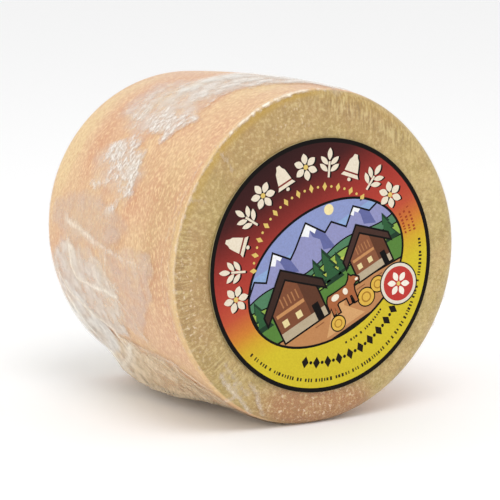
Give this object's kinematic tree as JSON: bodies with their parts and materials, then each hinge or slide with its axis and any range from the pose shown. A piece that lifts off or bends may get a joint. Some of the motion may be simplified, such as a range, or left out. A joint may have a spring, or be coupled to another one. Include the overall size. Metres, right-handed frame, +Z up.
{
  "type": "tete de moine cheese wheel",
  "caption": "Small wheel of hard washed-rind cheese, whole and wrapped in clear shrink film, lying on its side with a round printed label on one end; for food displays and kitchens",
  "frame": {"origin": "Middle of the underside of the whole object's box, on the surface that the wheel lies on", "axes": "+Y runs along the wheel's axis from the labelled end to the bare end, +Z is up, and +X is to the right of someone who looks at the label"},
  "size_m": [0.1044, 0.0958, 0.1055],
  "materials": {
    "film_over_rind": "clear shrink film with milky folds, tight over a peach-tan rind with khaki-yellow ends",
    "label_paper": "coated paper printed in dark red, yellow and landscape colours with a black ring"
  },
  "bodies": {
    "root": {"wrapped_wheel": "film_over_rind", "label": "label_paper"}
  },
  "joints": []
}
